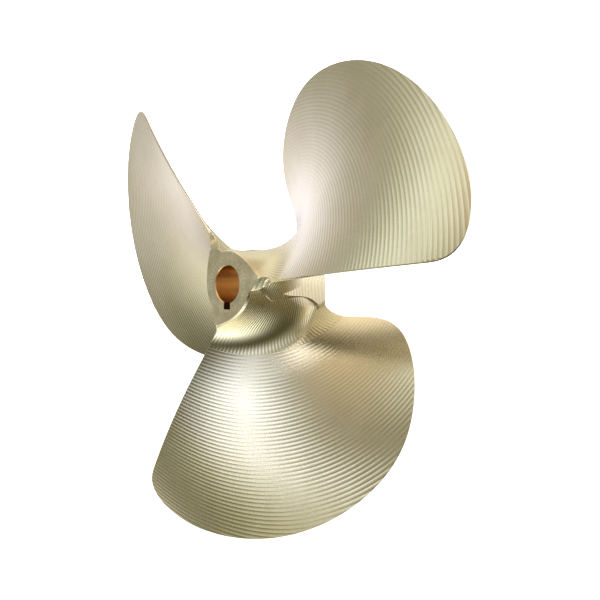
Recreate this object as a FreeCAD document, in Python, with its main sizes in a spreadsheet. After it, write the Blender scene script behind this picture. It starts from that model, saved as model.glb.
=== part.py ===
"""Three-blade, left-hand, fixed-pitch inboard boat propeller with a keyed SAE taper bore.

Frame: +Y runs along the shaft axis, forward, towards the gearbox. The origin is the centre of
the aft hub face. +X is to the right when the propeller is seen from aft, and +Z is up.
An angle on the disc is counted from +X towards +Z, which is counter-clockwise seen from aft.
A blade's leading edge lies forward of its trailing edge and counter-clockwise from it.
Lengths are in millimetres and angles in degrees.
"""
import FreeCAD, Part
import math
import os
import Sketcher

Vector = FreeCAD.Vector
Rotation = FreeCAD.Rotation
Placement = FreeCAD.Placement

AFT_TO_LEADING = Vector(0, -1, 0)      # turning about this axis takes +X to +Z

doc = FreeCAD.newDocument("boat_propeller")


# ---------------------------------------------------------------- driving dimensions

DIMENSIONS = [
    # alias, value, meaning
    ("hub_length", 69.85, "SAE taper hub length for a 1 1/8 in shaft"),
    ("bore_aft_dia", 23.93, "small end of the taper bore, at the aft face"),
    ("bore_taper", 0.0625, "taper on diameter, 1 in 16"),
    ("bore_chamfer", 0.5, "chamfer at both mouths of the bore"),
    ("key_width", 6.35, "keyway for a 1/4 in key"),
    ("key_floor_rad", 16.3, "distance from the axis to the keyway floor"),
    ("hub_aft_rad", 21.0, "barrel radius at the aft face"),
    ("hub_front_rad", 24.2, "barrel radius at the forward face"),
    ("hub_rim_chamfer", 0.8, "chamfer round the forward rim"),
    ("split_rad", 47.5, "radius where the root fairing ends and the blade begins"),
    ("tip_rad", 167.0, "blade tip radius"),
    ("root_rad", 28.0, "radius of the first design station"),
    ("form_start_rad", 6, "radius near the axis where the blade form would start"),
    ("core_rad", 18, "radius inside the barrel wall where the root fairings are cut off"),
    ("blade_count", 3, "number of blades"),
    ("trailing_angle", 3.0, "angle of the first blade's trailing edge"),
    ("corner_sweep", 11.5, "how far the trailing edge turns to meet the leading edge at the tip"),
    ("corner_start", 0.65, "station where the trailing edge leaves its radial line"),
    ("corner_power", 2.2, "sharpness of the trailing corner"),
    ("root_thickness", 10.5, "greatest blade thickness at the root"),
    ("tip_thickness", 2.4, "greatest blade thickness at the tip"),
    ("root_edge", 2.4, "edge thickness at the root"),
    ("tip_edge", 1.2, "edge thickness at the tip"),
    ("pressure_fillet", 24.0, "fillet radius between a blade's pressure face and the barrel"),
    ("suction_fillet", 12.0, "fillet radius between a blade's suction face and the barrel"),
    ("end_fillet", 26.0, "fillet radius at a blade's leading and trailing edge"),
    ("fillet_foot", 19.8, "radius where the fillets would run out, just under the barrel's skin"),
]

# Blade design table. A station is 0 at root_rad and 1 at the tip, and the radius follows a
# quarter sine between them, so that stations crowd together near the tip.
WRAP = [77.0, 94.0, 99.5, 93.5, 83.0, 68.5, 44.0, 23.5, 11.5]   # leading edge angle, 9 stations
RAKE = [6.4, -5.6, -11.4, -12.6, -11.8]      # Y of the trailing edge, 5 stations
PITCH = [248.0, 279.0, 269.0, 249.0, 222.0]  # advance in one full turn, 5 stations


def make_sheet():
    """One row per driving dimension: its meaning, its value, and the value cell's alias."""
    sheet = doc.addObject("Spreadsheet::Sheet", "dimensions")
    rows = list(DIMENSIONS)
    for title, table in (("wrap", WRAP), ("rake", RAKE), ("pitch", PITCH)):
        for number, value in enumerate(table):
            rows.append((f"{title}_station_{number}", value, f"{title} at design station {number}"))
    for row, (alias, value, meaning) in enumerate(rows, start=1):
        sheet.set(f"A{row}", meaning)
        sheet.set(f"B{row}", str(value))
        sheet.setAlias(f"B{row}", alias)
    doc.recompute()
    return sheet


sheet = make_sheet()


def size(alias):
    """A driving dimension, read back from the sheet."""
    return float(getattr(sheet, alias))


# ---------------------------------------------------------------- blade form

def design_curve(title, count):
    """A smooth curve through one column of the design table, as a function of the station."""
    stations = [number / (count - 1) for number in range(count)]
    points = [
        Vector(station, size(f"{title}_station_{number}"), 0)
        for number, station in enumerate(stations)
    ]
    curve = Part.BSplineCurve()
    curve.interpolate(Points=points, Parameters=stations)
    return lambda station: curve.value(station).y


leading_angle = design_curve("wrap", len(WRAP))
rake = design_curve("rake", len(RAKE))
pitch = design_curve("pitch", len(PITCH))


def station_of(radius):
    """Design station of a radius. Radii under the first station use that station."""
    share = (radius - size("root_rad")) / (size("tip_rad") - size("root_rad"))
    return math.asin(min(max(share, 0.0), 1.0)) / (math.pi / 2)


def trailing_angle(station):
    """Trailing edge angle: radial, then swept back into the tip."""
    start = size("corner_start")
    share = max(station - start, 0.0) / (1 - start)
    return size("corner_sweep") * share ** size("corner_power")


def blend(start, end, share):
    """Straight-line mix of two values."""
    return start + (end - start) * share


def fillet_growth(radius, fillet):
    """How far a fillet has moved the blade's skin out at a radius.

    It is nothing on the plain blade, and the fillet's own radius at its foot. Inside the
    barrel wall it shrinks again, so that the blade form can close as a thin strip near the axis.
    """
    foot = size("fillet_foot")
    start = size("form_start_rad")
    if radius < foot:
        return fillet * (radius - start) / (foot - start)
    height = min(radius - foot, fillet)
    return fillet - math.sqrt(fillet ** 2 - (fillet - height) ** 2)


SECTION_POINTS = 32      # points round one blade section
END_FULLNESS = 0.5       # how much squarer than an ellipse a section's ends are


def section_points(radius):
    """Points of a closed blade section lying on the cylinder of one radius.

    The section is drawn on the unrolled cylinder: `along` runs from the trailing edge to the
    leading edge, and `across` is the distance forward of the pressure face.
    """
    station = station_of(radius)
    start_angle = trailing_angle(station)
    wrap_angle = leading_angle(station) - start_angle
    rise = pitch(station) * wrap_angle / 360
    arc = radius * math.radians(wrap_angle)
    chord = math.hypot(arc, rise)
    forward = Vector(arc / chord, rise / chord, 0)
    across_dir = Vector(-forward.y, forward.x, 0)
    start_height = rake(station) + pitch(station) * start_angle / 360

    thickness = blend(size("root_thickness"), size("tip_thickness"), station)
    edge = blend(size("root_edge"), size("tip_edge"), station)
    pressure_side = edge / 2 + fillet_growth(radius, size("pressure_fillet"))
    suction_side = edge / 2 + fillet_growth(radius, size("suction_fillet"))
    half_chord = chord / 2 + fillet_growth(radius, size("end_fillet"))

    points = []
    for number in range(SECTION_POINTS):
        turn = 2 * math.pi * number / SECTION_POINTS
        along = chord / 2 - half_chord * math.cos(turn)
        fullness = math.sin(turn) * (1 + END_FULLNESS * math.cos(turn) ** 2)
        crown = (thickness - edge) * min(math.sin(turn), 0) ** 2
        side = pressure_side if turn < math.pi else suction_side
        across = edge / 2 - side * fullness + crown
        flat = forward * along + across_dir * across
        angle = math.radians(size("trailing_angle") + start_angle) + flat.x / radius
        height = start_height + flat.y
        points.append(Vector(radius * math.cos(angle), height, radius * math.sin(angle)))
    return points


CORE_RADII = [8, 12, 16]     # sections inside the barrel wall, cut away later
FAIRING_STEPS = 6            # sections through the root fairing
BLADE_STATIONS = [0.2, 0.3, 0.4, 0.5, 0.6, 0.7, 0.78, 0.85, 0.91, 0.95, 0.975, 0.99]


def section_radii():
    """Radii of all sections: close together in the fairing and again near the tip."""
    radii = list(CORE_RADII)
    for step in range(FAIRING_STEPS + 1):
        share = 1 - math.cos(math.pi / 2 * step / FAIRING_STEPS)
        radii.append(size("fillet_foot") + size("end_fillet") * share)
    for station in BLADE_STATIONS:
        share = math.sin(station * math.pi / 2)
        radii.append(blend(size("root_rad"), size("tip_rad"), share))
    return radii


def skin_through(rows):
    """Smooth closed skin through rows of points, each row a loop round the blade."""
    count = len(rows[0])
    steps = [0.0]
    for row, following in zip(rows, rows[1:]):
        moved = sum(one.distanceToPoint(other) for one, other in zip(row, following))
        steps.append(steps[-1] + moved / count)
    spans = []
    for column in range(count):
        span = Part.BSplineCurve()
        span.interpolate(Points=[row[column] for row in rows], Parameters=steps)
        spans.append(span)
    turns = [number / count for number in range(count + 1)]
    poles = []
    for number in range(1, spans[0].NbPoles + 1):
        loop = Part.BSplineCurve()
        corners = [span.getPole(number) for span in spans]
        loop.interpolate(Points=corners, Parameters=turns, PeriodicFlag=True)
        poles.append(loop.getPoles())
    skin = Part.BSplineSurface()
    skin.buildFromPolesMultsKnots(
        poles,
        spans[0].getMultiplicities(),
        loop.getMultiplicities(),
        spans[0].getKnots(),
        loop.getKnots(),
        False,
        True,
        spans[0].Degree,
        loop.Degree,
    )
    return skin.toShape()


def blade_form():
    """One closed solid: a blade with its root fairing, from near the axis to the tip."""
    skin = skin_through([section_points(radius) for radius in section_radii()])
    caps = [Part.makeFilledFace([edge]) for edge in skin.Edges if edge.isClosed()]
    shell = Part.makeShell([skin] + caps)
    if not shell.isClosed():
        shell.sewShape()
    solid = Part.makeSolid(shell)
    if solid.Volume < 0:
        solid.reverse()
    return solid


def axial_cylinder(radius):
    """Solid cylinder on the shaft axis, longer than the whole propeller."""
    length = 2 * size("tip_rad")
    return Part.makeCylinder(radius, length, Vector(0, -length / 2, 0), Vector(0, 1, 0))


def blade_placement(number):
    """Turn of one blade about the shaft axis."""
    return Placement(Vector(), Rotation(AFT_TO_LEADING, 360 / size("blade_count") * number))


def add_feature(name, shape, placement):
    """A document object that holds a computed shape."""
    feature = doc.addObject("Part::Feature", name)
    feature.Shape = shape
    feature.Placement = placement
    return feature


# ---------------------------------------------------------------- hub barrel

def origin_plane(body, role):
    """One of a body's own origin planes."""
    return next(item for item in body.Origin.OriginFeatures if item.Role == role)


def polygon(sketch, corners):
    """Closed chain of lines through the corners. Returns the line numbers."""
    lines = []
    for number, corner in enumerate(corners):
        following = corners[(number + 1) % len(corners)]
        lines.append(sketch.addGeometry(Part.LineSegment(Vector(*corner, 0), Vector(*following, 0))))
    for number, line in enumerate(lines):
        following = lines[(number + 1) % len(lines)]
        sketch.addConstraint(Sketcher.Constraint("Coincident", line, 2, following, 1))
    return lines


def pin_point(sketch, line, name, across, along):
    """Fixes a line's start point by two expressions on the sheet's cells."""
    for axis, kind, expression in (("x", "DistanceX", across), ("y", "DistanceY", along)):
        point = sketch.getPoint(line, 1)
        value = point.x if axis == "x" else point.y
        number = sketch.addConstraint(Sketcher.Constraint(kind, -1, 1, line, 1, value))
        sketch.renameConstraint(number, f"{name}_{axis}")
        sketch.setExpression(f"Constraints.{name}_{axis}", expression)


def hub_barrel():
    """Turned barrel with the taper bore, its chamfers and the keyway."""
    body = doc.addObject("PartDesign::Body", "hub_barrel")
    sketch = body.newObject("Sketcher::SketchObject", "barrel_profile")
    sketch.AttachmentSupport = [(origin_plane(body, "XY_Plane"), "")]
    sketch.MapMode = "FlatFace"
    aft = "dimensions.bore_aft_dia / 2"
    front = "(dimensions.bore_aft_dia + dimensions.bore_taper * dimensions.hub_length) / 2"
    slope = "dimensions.bore_taper / 2 * dimensions.bore_chamfer"
    end = "dimensions.hub_length"
    rim = "dimensions.hub_rim_chamfer"
    lip = "dimensions.bore_chamfer"
    profile = [
        ("bore_mouth_aft", f"{aft} + {lip}", "0", (12.5, 0)),
        ("barrel_aft", "dimensions.hub_aft_rad", "0", (21, 0)),
        ("barrel_front", "dimensions.hub_front_rad", f"{end} - {rim}", (24.2, 69)),
        ("rim_front", f"dimensions.hub_front_rad - {rim}", end, (23.4, 69.85)),
        ("bore_mouth_front", f"{front} + {lip}", end, (14.6, 69.85)),
        ("bore_front", f"{front} - {slope}", f"{end} - {lip}", (14.1, 69.3)),
        ("bore_aft", f"{aft} + {slope}", lip, (12, 0.5)),
    ]
    lines = polygon(sketch, [corner for _, _, _, corner in profile])
    for line, (name, across, along, _) in zip(lines, profile):
        pin_point(sketch, line, name, across, along)
    revolution = body.newObject("PartDesign::Revolution", "barrel_turning")
    revolution.Profile = sketch
    revolution.ReferenceAxis = (sketch, ["V_Axis"])
    revolution.Angle = 360
    doc.recompute()

    keyway = body.newObject("Sketcher::SketchObject", "keyway_profile")
    keyway.AttachmentSupport = [(origin_plane(body, "XZ_Plane"), "")]
    keyway.MapMode = "FlatFace"
    half = "dimensions.key_width / 2"
    corners = [
        ("left_top", f"-{half}", "0", (-3, 0)),
        ("left_floor", f"-{half}", "-dimensions.key_floor_rad", (-3, -16)),
        ("right_floor", half, "-dimensions.key_floor_rad", (3, -16)),
        ("right_top", half, "0", (3, 0)),
    ]
    lines = polygon(keyway, [corner for _, _, _, corner in corners])
    for line, (name, across, along, _) in zip(lines, corners):
        pin_point(keyway, line, name, across, along)
    pocket = body.newObject("PartDesign::Pocket", "keyway")
    pocket.Profile = keyway
    pocket.Type = "ThroughAll"
    pocket.Midplane = True
    doc.recompute()
    if pocket.Shape.Volume >= revolution.Shape.Volume:
        raise RuntimeError("the keyway removed nothing from the barrel")
    return body


# ---------------------------------------------------------------- assembly

def build_hub(form):
    """Barrel and three root fairings, faced off flat at both ends."""
    barrel = hub_barrel()
    wall = axial_cylinder(size("split_rad")).cut(axial_cylinder(size("core_rad")))
    inner = form.common(wall)
    fairings = [
        add_feature(f"root_fairing_{number + 1}", inner, blade_placement(number))
        for number in range(int(size("blade_count")))
    ]
    joined = doc.addObject("Part::MultiFuse", "hub_casting")
    joined.Shapes = [barrel] + fairings
    joined.Refine = False
    envelope = doc.addObject("Part::Cylinder", "facing_envelope")
    envelope.setExpression("Radius", "dimensions.tip_rad")
    envelope.setExpression("Height", "dimensions.hub_length")
    envelope.Placement = Placement(Vector(), Rotation(Vector(1, 0, 0), -90))
    hub = doc.addObject("Part::MultiCommon", "hub")
    hub.Shapes = [joined, envelope]
    hub.Refine = False
    hub.Label = "hub"
    doc.recompute()
    return hub


def build_blades(form):
    """The three blades, outward of the split radius."""
    outer = form.cut(axial_cylinder(size("split_rad")))
    blades = []
    for number in range(int(size("blade_count"))):
        blade = add_feature(f"blade_{number + 1}", outer, blade_placement(number))
        blade.Label = f"blade_{number + 1}"
        blades.append(blade)
    doc.recompute()
    return blades


def check(objects):
    """Stops if any object failed to compute or any sub-part isn't one sound solid."""
    for item in doc.Objects:
        if "Invalid" in item.State or "Error" in item.State:
            raise RuntimeError(f"{item.Name} failed: {item.State}")
    for item in objects:
        shape = item.Shape
        if shape.isNull() or not shape.isValid() or len(shape.Solids) != 1:
            raise RuntimeError(f"{item.Label} isn't one valid solid")


form = blade_form()
subparts = [build_hub(form)] + build_blades(form)
check(subparts)

os.makedirs("parts", exist_ok=True)
for subpart in subparts:
    subpart.Shape.exportStep(f"parts/{subpart.Label}.step")
    box = subpart.Shape.BoundBox
    print(
        f"{subpart.Label}: {subpart.Shape.Volume / 1000:.1f} cm3, "
        f"x {box.XMin:.1f}..{box.XMax:.1f}, y {box.YMin:.1f}..{box.YMax:.1f}, "
        f"z {box.ZMin:.1f}..{box.ZMax:.1f}"
    )
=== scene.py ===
"""Looks for the boat propeller: finely milled hub and blades, bronze materials, studio and camera.

Lengths in the shape code are millimetres, like the design table. Meshes are made in metres.
"""
import math

import bmesh
import bpy
import numpy as np
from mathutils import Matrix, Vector
from mathutils.geometry import tessellate_polygon


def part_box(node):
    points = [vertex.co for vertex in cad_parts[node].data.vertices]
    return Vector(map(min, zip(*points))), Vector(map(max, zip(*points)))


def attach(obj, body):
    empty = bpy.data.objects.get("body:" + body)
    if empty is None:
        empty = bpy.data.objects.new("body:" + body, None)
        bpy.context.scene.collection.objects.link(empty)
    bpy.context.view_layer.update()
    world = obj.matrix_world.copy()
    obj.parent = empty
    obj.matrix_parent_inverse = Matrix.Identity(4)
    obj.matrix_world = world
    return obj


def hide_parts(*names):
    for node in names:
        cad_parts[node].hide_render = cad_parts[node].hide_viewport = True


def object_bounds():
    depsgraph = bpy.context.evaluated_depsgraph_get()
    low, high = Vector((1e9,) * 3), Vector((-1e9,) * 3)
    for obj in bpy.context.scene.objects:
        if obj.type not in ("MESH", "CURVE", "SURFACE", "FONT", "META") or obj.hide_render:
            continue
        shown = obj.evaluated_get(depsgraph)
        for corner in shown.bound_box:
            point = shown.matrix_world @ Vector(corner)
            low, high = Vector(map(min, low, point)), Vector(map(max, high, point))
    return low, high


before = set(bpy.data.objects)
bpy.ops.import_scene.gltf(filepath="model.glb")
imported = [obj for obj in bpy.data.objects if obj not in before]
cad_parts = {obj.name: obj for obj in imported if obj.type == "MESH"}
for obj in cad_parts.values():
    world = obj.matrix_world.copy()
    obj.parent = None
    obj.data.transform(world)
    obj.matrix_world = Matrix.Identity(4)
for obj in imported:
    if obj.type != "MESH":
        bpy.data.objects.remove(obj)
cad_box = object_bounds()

MM = 0.001

# ---------------------------------------------------------------- design values

BLADES = 3
FIRST_BLADE = 3.0                # angle of the first trailing edge, degrees
HUB_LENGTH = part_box("hub")[1].y / MM
SPLIT_RAD = 47.5                 # the fairing's milling ends here and the blade's begins
TIP_RAD = 167.0
ROOT_RAD = 28.0                  # radius of the first design station

# Blade design table, at evenly spaced stations from the root to the tip. The values come from
# fitting a camera and one shared blade outline to the photo. They are resampled and rounded.
WRAP = [77.0, 94.0, 99.5, 93.5, 83.0, 68.5, 44.0, 23.5, 11.5]    # leading edge angle, degrees
RAKE = [6.4, -5.6, -11.4, -12.6, -11.8]                          # place of the trailing edge
PITCH = [248.0, 279.0, 269.0, 249.0, 222.0]                      # advance in one full turn
CORNER_SWEEP, CORNER_START, CORNER_POWER = 11.5, 0.65, 2.2       # trailing corner at the tip

THICKNESS = (10.5, 2.4)          # greatest blade thickness at root and tip, assumed
EDGE = (1.8, 1.1)                # edge thickness at root and tip
SCOOP_FLOOR = (22.0, 23.8)       # radius of the milled floor between the blades, aft and forward
RIM_DROP, RIM_LENGTH = 0.9, 1.8  # rounding of the barrel's aft rim
PRESSURE_FILLET = (24.0, 4.0)    # aft, forward
FILLET_FADE = (42.0, 66.0)       # where along the shaft it changes from one to the other
SUCTION_FILLET = (2.5, 12.0)     # aft, forward
SUCTION_FADE = (5.0, 25.0)
LEADING_FILLET, LEADING_BULGE = 23.0, 1.9    # fairing under a leading edge
TRAILING_PAD, PAD_FILLET = 8.8, 2.5          # metal added behind a trailing edge at the hub
PAD_FADE = (21.0, 38.0)                      # radii between which it runs out
END_LEAN = 0.45                  # sideways share of an end facet's normal at the hub
LEAN_FADE = (33.0, 46.0)         # radii between which it turns square to the blade
SHOULDER_RAD = 24.6              # turned barrel left standing beside each scoop
SHOULDER_RISE, RISE_POWER = 4.9, 2.2     # how far the shoulder climbs towards the next blade
RISE_START, RISE_ANGLE = 3.0, 38.0       # where that climb starts and how long it is, degrees
RISE_LIMIT = 1.2                         # share of the climb at which it is cut off
SHOULDER_FADE = (8.0, 34.0)      # places along the shaft between which it comes up
CREST = [6.0, -12.5, -20.3, -24.0, -42.0]    # shoulder's edge, degrees from the next trailing edge
CREST_RADIUS = 5.0               # how roundly the scoop's floor climbs to that edge
FACET_START, FACET_END, FACET_SLOPE = 28.6, 35.0, 2.5    # bevel from aft face to trailing edge

BORE_AFT, BORE_TAPER, BORE_CHAMFER = 11.965, 1 / 32, 0.5    # radii, and the taper on radius
KEY_HALF, KEY_FLOOR = 3.175, 16.3     # half the keyway's width, and its floor from the axis

GROOVE_PITCH, GROOVE_DEPTH = 2.4, 0.07    # cutter marks on the blades
RIB_COUNT, RIB_DEPTH = 46, 0.16           # cutter marks on the hub and its fairings


# ---------------------------------------------------------------- curves of the design table

def smooth_curve(values):
    """Natural cubic spline through evenly spaced stations from 0 to 1."""
    knots = np.asarray(values, float)
    count = len(knots)
    matrix = np.eye(count)
    right = np.zeros(count)
    for row in range(1, count - 1):
        matrix[row, row - 1:row + 2] = (1, 4, 1)
        right[row] = 6 * (knots[row - 1] - 2 * knots[row] + knots[row + 1])
    bend = np.linalg.solve(matrix, right)

    def curve(station):
        place = np.clip(np.asarray(station, float), 0, 1) * (count - 1)
        low = np.clip(place.astype(int), 0, count - 2)
        high_share = place - low
        low_share = 1 - high_share
        line = low_share * knots[low] + high_share * knots[low + 1]
        low_curl = (low_share ** 3 - low_share) * bend[low]
        high_curl = (high_share ** 3 - high_share) * bend[low + 1]
        return line + (low_curl + high_curl) / 6

    return curve


wrap_curve = smooth_curve(WRAP)
rake_curve = smooth_curve(RAKE)
pitch_curve = smooth_curve(PITCH)
crest_curve = smooth_curve(CREST)


def station_of(radius):
    share = np.clip((radius - ROOT_RAD) / (TIP_RAD - ROOT_RAD), 0, 1)
    return np.arcsin(share) / (np.pi / 2)


def radius_of(station):
    return ROOT_RAD + (TIP_RAD - ROOT_RAD) * np.sin(station * np.pi / 2)


def trailing_angle(station):
    share = np.clip((station - CORNER_START) / (1 - CORNER_START), 0, 1)
    return CORNER_SWEEP * share ** CORNER_POWER


def thickness_at(share, station):
    """Blade thickness at a share of the chord, edges included."""
    most = blend(THICKNESS, station)
    edge = blend(EDGE, station)
    inner = np.clip(share, 0, 1)
    return edge + (most - edge) * 4 * inner * (1 - inner)


def smooth_step(value, low, high):
    share = np.clip((value - low) / (high - low), 0, 1)
    return share * share * (3 - 2 * share)


def blend(pair, share):
    """Mix of a pair of values: the first at share 0, the second at share 1."""
    return pair[0] + (pair[1] - pair[0]) * share


def floor_radius(height):
    """Radius of the floor between the blades. `height` is the place along the shaft."""
    straight = blend(SCOOP_FLOOR, np.clip(height / HUB_LENGTH, 0, 1))
    return straight - RIM_DROP * (1 - np.clip(height / RIM_LENGTH, 0, 1)) ** 2


def fillet(radius, foot, size):
    """How far a root fillet that stands on radius `foot` has moved the skin out."""
    rise = np.clip(radius - foot, 0, size)
    return size - np.sqrt(size ** 2 - (size - rise) ** 2)


def pressure_fillet(radius, height):
    size = blend(PRESSURE_FILLET, smooth_step(height, *FILLET_FADE))
    return fillet(radius, floor_radius(height), size)


def suction_fillet(radius, height):
    """This fillet stands on the scoop's floor near the aft face, and on the shoulder further on."""
    size = blend(SUCTION_FILLET, smooth_step(height, *SUCTION_FADE))
    foot = blend((floor_radius(height), SHOULDER_RAD), smooth_step(height, *SHOULDER_FADE))
    return fillet(radius, foot, size)


def ground_radius(angle, height):
    """Radius of the hub between two blades, at an angle in degrees from the next trailing edge."""
    floor = floor_radius(height)
    climb = np.clip((-angle - RISE_START) / RISE_ANGLE, 0, RISE_LIMIT)
    shoulder = SHOULDER_RAD + SHOULDER_RISE * climb ** RISE_POWER
    shoulder = blend((floor, shoulder), smooth_step(height, *SHOULDER_FADE))
    crest = crest_curve(height / HUB_LENGTH)
    step = np.maximum(shoulder - floor, 0)
    run = np.sqrt(np.maximum(CREST_RADIUS ** 2 - np.maximum(CREST_RADIUS - step, 0) ** 2, 0))
    behind = np.radians(crest - angle) * floor
    across = np.clip(run - behind, 0, CREST_RADIUS)
    scoop = floor + CREST_RADIUS - np.sqrt(CREST_RADIUS ** 2 - across ** 2)
    return np.where(angle < crest, scoop, shoulder)


def leading_fairing(radius, height):
    """The fairing that carries a leading edge down to the hub, a little fuller than an arc."""
    foot = floor_radius(height)
    share = np.clip((radius - foot) / (SPLIT_RAD - foot), 0, 1)
    return fillet(radius, foot, LEADING_FILLET) + LEADING_BULGE * 4 * share * (1 - share)


def trailing_pad(radius, height):
    """Metal added behind a trailing edge near the hub, with a small fillet at its foot."""
    pad = TRAILING_PAD * (1 - smooth_step(radius, *PAD_FADE))
    return pad + fillet(radius, floor_radius(height), PAD_FILLET)


def cutter_mark(phase, depth):
    """Round-bottomed groove with sharp crests between grooves: 0 on a crest, depth in the middle."""
    across = 2 * np.mod(phase, 1) - 1
    return depth * (1 - across ** 2)


# ---------------------------------------------------------------- mesh helpers

SHARP_ANGLE = math.radians(28)       # edges that turn more than this are shaded as corners
WELD_DISTANCE = 2e-6                 # metres
SLIVER_LENGTH = 1e-6                 # metres


def new_piece(name, points, faces, materials, face_material=None):
    """A mesh object from millimetre points, with sharp edges marked by angle."""
    mesh = bpy.data.meshes.new(name)
    mesh.from_pydata((np.asarray(points) * MM).tolist(), [], faces)
    for material in materials:
        mesh.materials.append(material)
    if face_material is not None:
        mesh.polygons.foreach_set("material_index", face_material)
    work = bmesh.new()
    work.from_mesh(mesh)
    bmesh.ops.remove_doubles(work, verts=work.verts, dist=WELD_DISTANCE)
    bmesh.ops.dissolve_degenerate(work, dist=SLIVER_LENGTH, edges=work.edges)
    bmesh.ops.recalc_face_normals(work, faces=work.faces)
    for edge in work.edges:
        edge.smooth = len(edge.link_faces) != 2 or edge.calc_face_angle(0) < SHARP_ANGLE
    for face in work.faces:
        face.smooth = True
    work.to_mesh(mesh)
    work.free()
    piece = bpy.data.objects.new(name, mesh)
    bpy.context.collection.objects.link(piece)
    return piece


def grid_faces(rows, columns, start=0):
    """Quads between neighbouring rows of a grid whose columns close on themselves."""
    faces = []
    for row in range(rows - 1):
        base = start + row * columns
        for column in range(columns):
            following = (column + 1) % columns
            faces.append((base + column, base + following,
                          base + columns + following, base + columns + column))
    return faces


def unit(vectors, fallback):
    """Vectors scaled to length 1, or the fallback where they have no length."""
    length = np.linalg.norm(vectors, axis=-1, keepdims=True)
    return np.where(length > 1e-9, vectors / np.maximum(length, 1e-9), fallback)


# ---------------------------------------------------------------- blades

BLADE_ROWS = 470
FACE_COLUMNS = 92
COLUMN_CROWDING = 0.35           # how much the columns of a face crowd towards its edges
LAST_STATION = 0.9985            # just short of the tip, where the chord would be nothing
NARROW_CHORD = 12                # chords under this have their edge rounding scaled down

# Rounding of a blade edge: distance from the edge, and share of the thickness.
EDGE_PROFILE = [(0.30, 0.0), (0.07, 0.10), (0.0, 0.32), (0.0, 0.68), (0.07, 0.90), (0.30, 1.0)]


def blade_loop_template():
    """Chord share, setback from the edge and thickness share for each point round a section."""
    inner = np.linspace(0, 1, FACE_COLUMNS + 2)[1:-1]
    inner = inner - COLUMN_CROWDING / (2 * np.pi) * np.sin(2 * np.pi * inner)
    loop = [(0.0, setback, share) for setback, share in EDGE_PROFILE[::-1]]
    loop += [(chord, 0.0, 0.0) for chord in inner]
    loop += [(1.0, -setback, share) for setback, share in EDGE_PROFILE]
    loop += [(chord, 0.0, 1.0) for chord in inner[::-1]]
    return np.array(loop)


def blade_points():
    """Grid of points of the first blade, rows from the split radius to the tip."""
    template = blade_loop_template()
    first = station_of(SPLIT_RAD)
    stations = np.linspace(first, LAST_STATION, BLADE_ROWS)[:, None]
    radius = radius_of(stations)
    start = trailing_angle(stations)
    turn = wrap_curve(stations) - start
    advance = pitch_curve(stations)
    arc = radius * np.radians(turn)
    rise = advance * turn / 360
    chord = np.hypot(arc, rise)
    along_x, along_y = arc / chord, rise / chord

    setback = template[None, :, 1] * np.minimum(1, chord / NARROW_CHORD)
    along = template[None, :, 0] * chord + setback
    share = along / chord
    base_y = rake_curve(stations) + advance * start / 360 + along * along_y
    thick = thickness_at(share, stations)
    mark = cutter_mark(radius / GROOVE_PITCH, GROOVE_DEPTH)
    aft_side = -pressure_fillet(radius, base_y) + mark
    front_side = thick + suction_fillet(radius, base_y) - mark
    level = template[None, :, 2]
    across = aft_side * (1 - level) + front_side * level

    flat_x = along * along_x - across * along_y
    height = base_y + across * along_x
    angle = np.radians(FIRST_BLADE + start) + flat_x / radius
    return np.stack([radius * np.cos(angle), height, radius * np.sin(angle)], axis=-1)


def turned(points, degrees):
    """Points turned about the shaft axis, from +X towards +Z."""
    turn = math.radians(degrees)
    x, y, z = points[..., 0], points[..., 1], points[..., 2]
    return np.stack([x * math.cos(turn) - z * math.sin(turn), y,
                     x * math.sin(turn) + z * math.cos(turn)], axis=-1)


def cap_faces(columns, start):
    """Ladder of quads across one end section, between its two faces."""
    half = columns // 2
    middle = len(EDGE_PROFILE) // 2
    aft_side = [start + middle + step for step in range(half)]
    front_side = [start + (middle - 1 - step) % columns for step in range(half)]
    pairs = list(zip(aft_side, front_side))
    return [(a, b, d, c) for (a, c), (b, d) in zip(pairs, pairs[1:])]


def build_blade(number, first_points, material):
    """One blade, turned from the first one, in place of its CAD piece."""
    rows, columns, _ = first_points.shape
    points = turned(first_points, 360 / BLADES * number).reshape(-1, 3)
    faces = grid_faces(rows, columns)
    faces += cap_faces(columns, 0) + cap_faces(columns, (rows - 1) * columns)
    piece = new_piece(f"milled_blade_{number + 1}", points, faces, [material])
    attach(piece, "root")
    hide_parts(f"blade_{number + 1}")
    return piece


# ---------------------------------------------------------------- hub

SLICES_PER_RIB = 6
SLICES = RIB_COUNT * SLICES_PER_RIB + 1
WALL_SAMPLES = 500               # radii at which a root's walls are worked out
WALL_POINTS = 34                 # mesh points on each wall of a root
TOP_POINTS = 12                  # and on the other parts of a slice's outline
SCOOP_POINTS = 15
SHOULDER_POINTS = 11
RAKED_FROM = 36.0                # slices lean outward of this radius, to follow the edges
LEAN_AFT, LEAN_FRONT = -0.020, 0.023


def slice_height(place, radius):
    """Place along the shaft of a slice at a radius. Slices lean a little near the blades."""
    lean = LEAN_AFT + (LEAN_FRONT - LEAN_AFT) * place / HUB_LENGTH
    return place + lean * np.maximum(radius - RAKED_FROM, 0) ** 2


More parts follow.
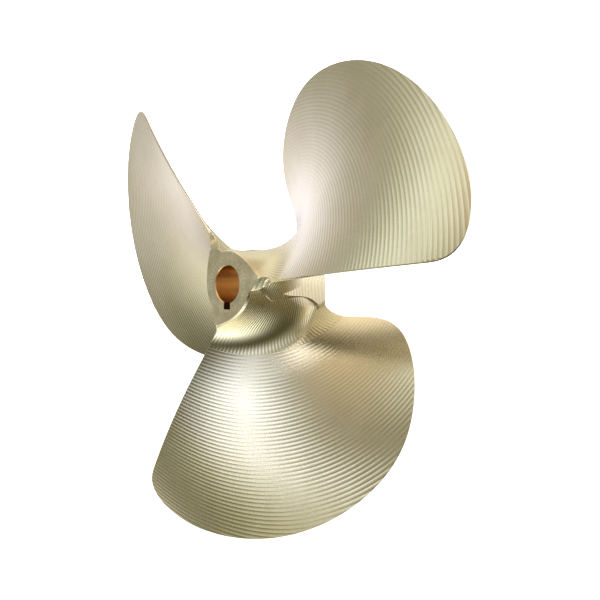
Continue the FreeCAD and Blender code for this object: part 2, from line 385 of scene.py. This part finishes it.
def root_walls(radius, height):
    """Angles of a blade root's suction-side and pressure-side walls, in radians."""
    station = station_of(radius)
    advance = pitch_curve(station)
    turn = np.radians(wrap_curve(station))
    slope = np.arctan2(advance, 2 * np.pi * radius)
    sin, cos = np.sin(slope), np.cos(slope)
    above = height - rake_curve(station)
    chord = radius * turn / cos

    pressure = (pressure_fillet(radius, height) + above * cos) / sin
    suction = above * cos / sin
    for _ in range(4):
        share = (suction * cos + above * sin) / chord
        suction = (above * cos - thickness_at(share, station)) / sin
    suction = suction - suction_fillet(radius, height) / sin

    side = END_LEAN + (cos - END_LEAN) * smooth_step(radius, *LEAN_FADE)
    front = np.sqrt(1 - side ** 2)
    trailing = -(trailing_pad(radius, height) + front * above) / side
    lead_above = above - advance * turn / (2 * np.pi)
    leading = radius * turn + (leading_fairing(radius, height) - front * lead_above) / side
    low = np.maximum(suction, trailing)
    high = np.minimum(pressure, leading)
    return low / radius, high / radius


def last_positive(values, places):
    """Place where a run of positive values that starts at the first one ends."""
    negative = np.nonzero(values <= 0)[0]
    if len(negative) == 0:
        return places[-1]
    index = negative[0]
    if index == 0:
        return places[0]
    before, after = values[index - 1], values[index]
    return places[index - 1] + (places[index] - places[index - 1]) * before / (before - after)


def foot_of_wall(radius, angle, place, meeting, top):
    """Radius where a wall comes down to the ground between the blades, or meets the next wall."""
    clear = radius - ground_radius(np.degrees(angle), place)
    buried = np.nonzero((clear <= 0) & (radius < top))[0]
    if len(buried) == 0:
        return min(max(meeting, radius[0]), top)
    last = min(buried[-1], len(radius) - 2)
    before, after = clear[last], clear[last + 1]
    step = (radius[last + 1] - radius[last]) * before / min(before - after, -1e-9)
    crossing = radius[last] + step
    return min(max(meeting, crossing), top)


def resampled(radius, angle, low, high, count):
    """Evenly spaced points of one wall between two radii, as radii and angles."""
    inside = (radius > low) & (radius < high)
    radii = np.concatenate([[low], radius[inside], [high]])
    angles = np.interp(radii, radius, angle)
    steps = np.hypot(np.diff(radii * np.cos(angles)), np.diff(radii * np.sin(angles)))
    path = np.concatenate([[0], np.cumsum(steps)])
    places = np.linspace(0, path[-1], count)
    picked = np.interp(places, path, radii)
    return picked, np.interp(picked, radius, angle)


def ground_angles(first, last, place, sector):
    """Angles of the ground's points: across the scoop to its crest, then along the shoulder."""
    crest = np.clip(math.radians(float(crest_curve(place / HUB_LENGTH))) + sector, first, last)
    return np.concatenate([np.linspace(first, crest, SCOOP_POINTS + 1)[1:],
                           np.linspace(crest, last, SHOULDER_POINTS + 2)[1:-1]])


def hub_slice(place):
    """Outline of one third of the hub on one slice: suction wall, top, pressure wall and ground."""
    foot = floor_radius(place)
    samples = foot + (SPLIT_RAD - foot) * np.linspace(0, 1, WALL_SAMPLES) ** 2
    low, high = root_walls(samples, slice_height(place, samples))
    sector = 2 * np.pi / BLADES
    top = last_positive(high - low, samples)
    facet = FACET_START + FACET_SLOPE * place
    if facet < FACET_END:
        top = min(top, facet)
    meeting = last_positive(high - low - sector, samples)
    low_foot = foot_of_wall(samples, low, place, meeting, top)
    high_foot = foot_of_wall(samples, high - sector, place, meeting, top)
    up_radius, up_angle = resampled(samples, low, low_foot, top, WALL_POINTS)
    down_radius, down_angle = resampled(samples, high, high_foot, top, WALL_POINTS)
    over = np.linspace(0, 1, TOP_POINTS + 2)[1:-1]
    over_angle = up_angle[-1] + (down_angle[-1] - up_angle[-1]) * over
    first, last = down_angle[0], max(up_angle[0] + sector, down_angle[0])
    ground_angle = ground_angles(first, last, place, sector)
    share = (ground_angle - first) / max(last - first, 1e-6)
    ends = down_radius[0] + (up_radius[0] - down_radius[0]) * share
    ground = np.maximum(ground_radius(np.degrees(ground_angle - sector), place), min(meeting, top))
    ground = np.where(last - first > 1e-4, ground, ends)
    radii = np.concatenate([up_radius, np.full(TOP_POINTS, top), down_radius[::-1], ground])
    angles = np.concatenate([up_angle, over_angle, down_angle[::-1], ground_angle])
    return radii, angles


def hub_skin():
    """Grid of points of the hub's outside, with its cutter marks."""
    rows = []
    places = np.linspace(0, HUB_LENGTH, SLICES)
    for place in places:
        radii, angles = hub_slice(place)
        heights = slice_height(place, radii)
        loop = []
        for number in range(BLADES):
            turn = angles + math.radians(FIRST_BLADE + 360 / BLADES * number)
            loop.append(np.stack([radii * np.cos(turn), heights, radii * np.sin(turn)], axis=-1))
        rows.append(np.concatenate(loop))
    points = np.array(rows)
    round_step = np.roll(points, -1, axis=1) - np.roll(points, 1, axis=1)
    long_step = np.gradient(points, axis=0)
    outward = points * np.array([1, 0, 1])
    outward = unit(outward, np.array([1.0, 0, 0]))
    normal = unit(np.cross(round_step, long_step), outward)
    facing = np.sum(normal * outward, axis=-1, keepdims=True)
    mark = cutter_mark(places / HUB_LENGTH * RIB_COUNT, RIB_DEPTH)[:, None, None]
    side = np.where(np.median(facing) > 0, 1.0, -1.0)
    mark = mark * (1 - normal[..., 1:2] ** 2)
    moved = points - normal * side * mark
    moved[0] = points[0]
    moved[-1] = points[-1]
    return moved


BORE_ARC = 120                   # points round the bore, without the keyway's
BORE_RINGS = 40
HUB_SKIN, END_FACE, BORE_WALL, KEYWAY = range(4)     # material slots of the hub


def bore_outline(radius, height):
    """Bore circle with the keyway notch at the bottom, at one place along the shaft."""
    half = math.asin(KEY_HALF / radius)
    start = -math.pi / 2 + half
    arc = np.linspace(start, start + 2 * math.pi - 2 * half, BORE_ARC)
    circle = np.stack([radius * np.cos(arc), np.full(BORE_ARC, height), radius * np.sin(arc)], axis=-1)
    mouth = -radius * math.cos(half)
    middle = mouth * 0.5 - KEY_FLOOR * 0.5
    notch = [(-KEY_HALF, middle), (-KEY_HALF, -KEY_FLOOR), (0, -KEY_FLOOR),
             (KEY_HALF, -KEY_FLOOR), (KEY_HALF, middle)]
    floor = np.array([(x, height, z) for x, z in notch])
    return np.concatenate([circle, floor])


def bore_skin():
    """Grid of points of the taper bore with its chamfered mouths."""
    inner = np.linspace(BORE_CHAMFER, HUB_LENGTH - BORE_CHAMFER, BORE_RINGS)
    heights = np.concatenate([[0], inner, [HUB_LENGTH]])
    radii = BORE_AFT + BORE_TAPER * heights
    radii[0] += BORE_CHAMFER
    radii[-1] += BORE_CHAMFER
    return np.array([bore_outline(radius, height) for radius, height in zip(radii, heights)])


def face_between(outer, inner, outer_start, inner_start):
    """Triangles of a flat end face between the hub's outline and the bore's outline."""
    loops = [[Vector((p[0], p[2], 0)) for p in outer], [Vector((p[0], p[2], 0)) for p in inner]]
    numbers = list(range(outer_start, outer_start + len(outer)))
    numbers += list(range(inner_start, inner_start + len(inner)))
    return [tuple(numbers[corner] for corner in triangle) for triangle in tessellate_polygon(loops)]


def build_hub(outside, end_face, bore, keyway):
    """Hub with its fairings, bore and keyway as one closed mesh, in place of the CAD hub."""
    skin = hub_skin()
    hole = bore_skin()
    rows, columns, _ = skin.shape
    hole_rows, hole_columns, _ = hole.shape
    hole_start = rows * columns
    points = np.concatenate([skin.reshape(-1, 3), hole.reshape(-1, 3)])
    faces = grid_faces(rows, columns)
    slots = [HUB_SKIN] * len(faces)
    hole_faces = grid_faces(hole_rows, hole_columns, hole_start)
    for number, face in enumerate(hole_faces):
        column = number % hole_columns
        slots.append(KEYWAY if column >= BORE_ARC - 1 else BORE_WALL)
    faces += hole_faces
    aft = face_between(skin[0], hole[0], 0, hole_start)
    last = hole_start + (hole_rows - 1) * hole_columns
    front = face_between(skin[-1], hole[-1], (rows - 1) * columns, last)
    faces += aft + front
    slots += [END_FACE] * (len(aft) + len(front))
    piece = new_piece("milled_hub", points, faces, [outside, end_face, bore, keyway], slots)
    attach(piece, "root")
    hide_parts("hub")
    return piece


# ---------------------------------------------------------------- materials

class Nodes:
    """Short calls for building a material's node tree."""

    def __init__(self, name):
        self.material = bpy.data.materials.new(name)
        self.material.use_nodes = True
        self.tree = self.material.node_tree
        self.shader = self.tree.nodes["Principled BSDF"]

    def add(self, kind, **settings):
        node = self.tree.nodes.new(kind)
        for key, value in settings.items():
            setattr(node, key, value)
        return node

    def link(self, source, target):
        self.tree.links.new(source, target)

    def math(self, operation, first, second=0.0):
        """A math node's output. Each operand is a number or another node's output."""
        node = self.add("ShaderNodeMath", operation=operation)
        for socket, value in zip(node.inputs, (first, second)):
            if hasattr(value, "is_output"):
                self.link(value, socket)
            else:
                socket.default_value = value
        return node.outputs[0]

    def noise(self, vector, scale, detail=3.0, rough=0.55):
        node = self.add("ShaderNodeTexNoise")
        node.inputs["Scale"].default_value = scale
        node.inputs["Detail"].default_value = detail
        node.inputs["Roughness"].default_value = rough
        self.link(vector, node.inputs["Vector"])
        return node.outputs["Fac"]

    def rings(self, along, pitch):
        """Sine wave along one length, with its pitch in millimetres."""
        return self.math("SINE", self.math("MULTIPLY", along, 2 * math.pi / (pitch * MM)))

    def ramp(self, value, stops):
        node = self.add("ShaderNodeValToRGB")
        elements = node.color_ramp.elements
        while len(elements) < len(stops):
            elements.new(0.5)
        for element, (place, colour) in zip(elements, stops):
            element.position = place
            element.color = (*colour, 1)
        self.link(value, node.inputs["Fac"])
        return node.outputs["Color"]

    def scaled(self, vector, scale):
        node = self.add("ShaderNodeMapping")
        node.inputs["Scale"].default_value = scale
        self.link(vector, node.inputs["Vector"])
        return node.outputs["Vector"]

    def bump(self, height, strength, distance):
        node = self.add("ShaderNodeBump")
        node.inputs["Strength"].default_value = strength
        node.inputs["Distance"].default_value = distance
        self.link(height, node.inputs["Height"])
        self.link(node.outputs["Normal"], self.shader.inputs["Normal"])

    def place(self):
        """Object coordinates, the same as separate X, Y and Z, and distance from the shaft axis."""
        position = self.add("ShaderNodeTexCoord").outputs["Object"]
        parts = self.add("ShaderNodeSeparateXYZ")
        self.link(position, parts.inputs[0])
        square = self.math("ADD", self.math("POWER", parts.outputs["X"], 2.0),
                           self.math("POWER", parts.outputs["Z"], 2.0))
        return position, parts.outputs, self.math("SQRT", square)

    def set(self, **values):
        for key, value in values.items():
            self.shader.inputs[key.replace("_", " ")].default_value = value


FEED_SHARE = 0.35                # weight of the fine feed marks against the grain
ROUGHNESS_SPREAD = 0.12          # how much the roughness varies from patch to patch


def milled_bronze(name, light, mid, dark, roughness, fine_pitch, by_radius):
    """Bronze straight from the cutter, with fine feed marks inside each groove."""
    nodes = Nodes(name)
    position, parts, radius = nodes.place()
    cloud = nodes.noise(position, scale=16.0, detail=4.0, rough=0.6)
    colour = nodes.ramp(cloud, [(0.30, dark), (0.50, mid), (0.70, light)])
    nodes.link(colour, nodes.shader.inputs["Base Color"])
    wave = nodes.rings(radius if by_radius else parts["Y"], fine_pitch)
    grain = nodes.noise(position, scale=900.0, detail=2.0, rough=0.6)
    relief = nodes.math("ADD", nodes.math("MULTIPLY", wave, FEED_SHARE), grain)
    nodes.bump(relief, strength=0.25, distance=0.00006)
    patch = nodes.noise(position, scale=45.0, detail=3.0, rough=0.5)
    spread = nodes.math("MULTIPLY", patch, ROUGHNESS_SPREAD)
    rough = nodes.math("ADD", spread, roughness - ROUGHNESS_SPREAD / 2)
    nodes.link(rough, nodes.shader.inputs["Roughness"])
    nodes.set(Metallic=1.0)
    return nodes.material


# A ring of plain ticks stands in for the text round the real bore, which is left out.
PUNCH_COUNT, PUNCH_RAD, PUNCH_HALF = 40, 16.9, 1.1    # number, radius and half length, in mm
PUNCH_EDGE = 0.4                 # height of the sine wave above which there is a tick
TICK_TINT, TICK_DEPTH = 0.09, 1.5


def punched_ticks(nodes, parts, radius):
    """1 inside each plain tick of a ring round the bore, 0 elsewhere."""
    angle = nodes.math("ARCTAN2", parts["Z"], parts["X"])
    beat = nodes.math("SINE", nodes.math("MULTIPLY", angle, PUNCH_COUNT))
    away = nodes.math("ABSOLUTE", nodes.math("SUBTRACT", radius, PUNCH_RAD * MM))
    ring = nodes.math("LESS_THAN", away, PUNCH_HALF * MM)
    return nodes.math("MULTIPLY", nodes.math("GREATER_THAN", beat, PUNCH_EDGE), ring)


SPECK_SHARE, CLOUD_SHARE = 0.6, 0.4      # weights of fine and coarse mottling in the colour
TURNING_PITCH = 0.35             # mm between the end faces' turning rings
BORE_RING_PITCH = 0.5            # mm between the bore's rings
RING_SHARE = 0.3                 # weight of those rings in the relief


def faced_end():
    """Flat faced end of the hub: greyer metal with turning rings, fine pits and punched ticks."""
    nodes = Nodes("faced_bronze")
    position, parts, radius = nodes.place()
    speck = nodes.noise(position, scale=1400.0, detail=3.0, rough=0.7)
    cloud = nodes.noise(position, scale=120.0, detail=3.0, rough=0.6)
    mix = nodes.math("ADD", nodes.math("MULTIPLY", speck, SPECK_SHARE),
                     nodes.math("MULTIPLY", cloud, CLOUD_SHARE))
    ticks = punched_ticks(nodes, parts, radius)
    mix = nodes.math("ADD", mix, nodes.math("MULTIPLY", ticks, TICK_TINT))
    colour = nodes.ramp(mix, [(0.36, (0.50, 0.45, 0.32)), (0.52, (0.74, 0.67, 0.49)),
                              (0.68, (0.93, 0.88, 0.70))])
    nodes.link(colour, nodes.shader.inputs["Base Color"])
    rings = nodes.rings(radius, TURNING_PITCH)
    relief = nodes.math("ADD", nodes.math("MULTIPLY", rings, RING_SHARE), speck)
    relief = nodes.math("SUBTRACT", relief, nodes.math("MULTIPLY", ticks, TICK_DEPTH))
    nodes.bump(relief, strength=0.5, distance=0.00012)
    nodes.set(Metallic=0.85, Roughness=0.5)
    return nodes.material


def bored_copper(name, light, dark, roughness):
    """The bore's warm, reamed surface with fine rings along its length."""
    nodes = Nodes(name)
    position, parts, _ = nodes.place()
    drawn_out = nodes.scaled(position, (1.0, 0.15, 1.0))
    streak = nodes.noise(drawn_out, scale=260.0, detail=4.0, rough=0.6)
    colour = nodes.ramp(streak, [(0.3, dark), (0.7, light)])
    nodes.link(colour, nodes.shader.inputs["Base Color"])
    rings = nodes.rings(parts["Y"], BORE_RING_PITCH)
    relief = nodes.math("ADD", nodes.math("MULTIPLY", rings, RING_SHARE), streak)
    nodes.bump(relief, strength=0.3, distance=0.00008)
    nodes.set(Metallic=1.0, Roughness=roughness)
    return nodes.material


def pale_floor():
    """Matte white paper that the camera sees overexposed, as in a cut-out studio picture."""
    nodes = Nodes("pale_floor")
    position = nodes.add("ShaderNodeTexCoord").outputs["Object"]
    cloud = nodes.noise(position, scale=3.0)
    colour = nodes.ramp(cloud, [(0.3, (0.90, 0.90, 0.90)), (0.7, (0.94, 0.94, 0.93))])
    nodes.link(colour, nodes.shader.inputs["Base Color"])
    path = nodes.add("ShaderNodeLightPath")
    nodes.set(Roughness=0.9, Emission_Color=(1, 1, 1, 1))
    nodes.link(path.outputs["Is Camera Ray"], nodes.shader.inputs["Emission Strength"])
    return nodes.material


# ---------------------------------------------------------------- build the pieces

blade_bronze = milled_bronze("milled_blade_bronze", light=(0.93, 0.86, 0.72),
                             mid=(0.88, 0.80, 0.65), dark=(0.80, 0.73, 0.57),
                             roughness=0.17, fine_pitch=0.4, by_radius=True)
hub_bronze = milled_bronze("milled_hub_bronze", light=(0.94, 0.87, 0.69),
                           mid=(0.89, 0.80, 0.59), dark=(0.82, 0.72, 0.50),
                           roughness=0.17, fine_pitch=0.25, by_radius=False)
bore_metal = bored_copper("reamed_bore", light=(0.95, 0.72, 0.42), dark=(0.84, 0.54, 0.25),
                          roughness=0.30)
# The keyway is the same bronze as the bore. Its very dark brown is painted shade for the deep slot,
# not a darker metal.
painted_shade_keyway = bored_copper("keyway_painted_shade", light=(0.30, 0.16, 0.07), dark=(0.16, 0.08, 0.04),
                         roughness=0.5)

build_hub(hub_bronze, faced_end(), bore_metal, painted_shade_keyway)
first_blade = blade_points()
for blade_number in range(BLADES):
    build_blade(blade_number, first_blade, blade_bronze)


# ---------------------------------------------------------------- studio

FLOOR_HALF = 6.0                 # half the side of the studio's floor, in metres


def direction(azimuth, elevation):
    """Unit vector towards an azimuth and elevation. Azimuth 0 is aft and 90 is starboard."""
    a, e = math.radians(azimuth), math.radians(elevation)
    return Vector((math.sin(a) * math.cos(e), -math.cos(a) * math.cos(e), math.sin(e)))


def softbox(name, azimuth, elevation, distance, side, power):
    """Soft square lamp aimed at the hub."""
    lamp = bpy.data.lights.new(name, "AREA")
    lamp.size = side
    lamp.energy = power
    lamp_object = bpy.data.objects.new(name, lamp)
    back = direction(azimuth, elevation)
    lamp_object.location = Vector((0, HUB_LENGTH / 2 * MM, 0)) + back * distance
    lamp_object.rotation_mode = "QUATERNION"
    lamp_object.rotation_quaternion = back.to_track_quat("Z", "Y")
    bpy.context.collection.objects.link(lamp_object)


def build_floor():
    """Pale floor at the part's lowest point. It isn't mirrored in the part."""
    low = cad_box[0]
    side = FLOOR_HALF
    corners = [(-side, -side), (side, -side), (side, side), (-side, side)]
    mesh = bpy.data.meshes.new("studio_floor")
    mesh.from_pydata([(x, y, low.z) for x, y in corners], [], [(0, 1, 2, 3)])
    mesh.materials.append(pale_floor())
    floor = bpy.data.objects.new("studio_floor", mesh)
    bpy.context.collection.objects.link(floor)
    floor.visible_glossy = False


# Soft lamps of the studio, as lobes on the sky: azimuth, elevation, sharpness of the lobe,
# strength and colour. The directions were chosen one by one. The strengths, the colours and the
# gloom start from a least-squares fit to the photo's colours, and were then changed.
STUDIO_LOBES = [
    ("left_wall", -112, 12, 12, 0.86, (1.00, 0.98, 1.18)),
    ("overhead_left", -125, 62, 8, 0.75, (1.00, 0.98, 0.92)),
    ("backdrop", 150, 15, 4, 1.25, (1.00, 0.97, 0.97)),
    ("upper_left_softbox", -46, 32, 60, 0.88, (0.86, 1.00, 0.94)),
    ("key_strip_left", -5, -2, 110, 1.45, (0.95, 1.00, 1.10)),
    ("key_strip_middle", 9, 1, 70, 1.65, (0.90, 1.00, 1.12)),
    ("key_strip_right", 26, 7, 40, 0.85, (0.90, 1.00, 1.20)),
    ("key_strip_foot", -17, -9, 70, 0.40, (1.00, 1.00, 0.60)),
    ("left_reflector", -82, -12, 14, 0.65, (1.00, 0.98, 1.08)),
    ("floor_left", -60, -40, 14, 0.70, (1.00, 1.00, 0.80)),
    ("floor_below", 10, -72, 12, 1.80, (0.95, 1.00, 0.92)),
    ("warm_ceiling", -14, 58, 13, 0.78, (1.00, 0.72, 0.45)),
]
STUDIO_GLOOM = (0.27, 0.26, 0.175)     # unlit parts of the studio, upper half
FLOOR_GLOOM = (0.07, 0.065, 0.03)      # and lower half
GLOOM_FADE = (-0.45, 0.05)             # heights on the sky between which one becomes the other
BACKDROP_STRENGTH = 4.0                # white that only the camera sees


def add_node(tree, kind, **settings):
    node = tree.nodes.new(kind)
    for key, value in settings.items():
        setattr(node, key, value)
    return node


def gloom_light(tree, sky):
    """Light of the unlit studio, darker below the horizon."""
    height = add_node(tree, "ShaderNodeSeparateXYZ")
    tree.links.new(sky, height.inputs[0])
    ramp = add_node(tree, "ShaderNodeMapRange", interpolation_type="SMOOTHSTEP")
    ramp.inputs["From Min"].default_value = GLOOM_FADE[0]
    ramp.inputs["From Max"].default_value = GLOOM_FADE[1]
    tree.links.new(height.outputs["Z"], ramp.inputs["Value"])
    total = add_node(tree, "ShaderNodeMix", data_type="RGBA")
    tree.links.new(ramp.outputs[0], total.inputs["Factor"])
    total.inputs["A"].default_value = (*FLOOR_GLOOM, 1)
    total.inputs["B"].default_value = (*STUDIO_GLOOM, 1)
    return total.outputs["Result"]


def with_lobe(tree, sky, light, lobe):
    """The light so far with one soft lamp added."""
    name, azimuth, elevation, sharpness, strength, colour = lobe
    aim = add_node(tree, "ShaderNodeVectorMath", operation="DOT_PRODUCT", label=name)
    aim.inputs[1].default_value = direction(azimuth, elevation)
    tree.links.new(sky, aim.inputs[0])
    front = add_node(tree, "ShaderNodeMath", operation="MAXIMUM")
    front.inputs[1].default_value = 0.0
    tree.links.new(aim.outputs["Value"], front.inputs[0])
    power = add_node(tree, "ShaderNodeMath", operation="POWER")
    power.inputs[1].default_value = sharpness
    tree.links.new(front.outputs[0], power.inputs[0])
    tint = add_node(tree, "ShaderNodeVectorMath", operation="SCALE")
    tint.inputs[0].default_value = [channel * strength for channel in colour]
    tree.links.new(power.outputs[0], tint.inputs["Scale"])
    total = add_node(tree, "ShaderNodeVectorMath", operation="ADD")
    tree.links.new(light, total.inputs[0])
    tree.links.new(tint.outputs[0], total.inputs[1])
    return total.outputs[0]


def build_world():
    """Pure white to the camera. Everything else sees a soft studio of a few broad lamps."""
    world = bpy.data.worlds.new("studio")
    bpy.context.scene.world = world
    world.use_nodes = True
    tree = world.node_tree
    background = tree.nodes["Background"]
    sky = add_node(tree, "ShaderNodeTexCoord").outputs["Generated"]
    light = gloom_light(tree, sky)
    for lobe in STUDIO_LOBES:
        light = with_lobe(tree, sky, light, lobe)
    tree.links.new(light, background.inputs["Color"])
    backdrop = add_node(tree, "ShaderNodeBackground")
    backdrop.inputs["Strength"].default_value = BACKDROP_STRENGTH
    path = add_node(tree, "ShaderNodeLightPath")
    mix = add_node(tree, "ShaderNodeMixShader")
    tree.links.new(path.outputs["Is Camera Ray"], mix.inputs["Fac"])
    tree.links.new(background.outputs[0], mix.inputs[1])
    tree.links.new(backdrop.outputs[0], mix.inputs[2])
    tree.links.new(mix.outputs[0], tree.nodes["World Output"].inputs["Surface"])


# The camera comes from the same fit as the blade design table. Its target and distance are
# in millimetres. Other distances fit the photo nearly as well.
CAMERA_TARGET = (34.95, 35.0, 1.84)
CAMERA_AZIMUTH, CAMERA_ELEVATION, CAMERA_DISTANCE = 42.16, -1.07, 307.3
LENS_LENGTH, LENS_SHIFT = 28.49, (-0.0065, -0.0311)
NEAR_CLIP = 0.01                 # metres


def build_camera():
    camera = bpy.data.cameras.new("camera")
    camera.lens = LENS_LENGTH
    camera.shift_x, camera.shift_y = LENS_SHIFT
    camera.clip_start = NEAR_CLIP
    camera_object = bpy.data.objects.new("camera", camera)
    back = direction(CAMERA_AZIMUTH, CAMERA_ELEVATION)
    camera_object.location = (Vector(CAMERA_TARGET) + back * CAMERA_DISTANCE) * MM
    camera_object.rotation_mode = "QUATERNION"
    camera_object.rotation_quaternion = back.to_track_quat("Z", "Y")
    bpy.context.collection.objects.link(camera_object)
    bpy.context.scene.camera = camera_object


build_floor()
build_world()
softbox("key_lamp", azimuth=30, elevation=45, distance=1.5, side=0.8, power=2.0)
build_camera()
bpy.context.scene.view_settings.view_transform = "Standard"
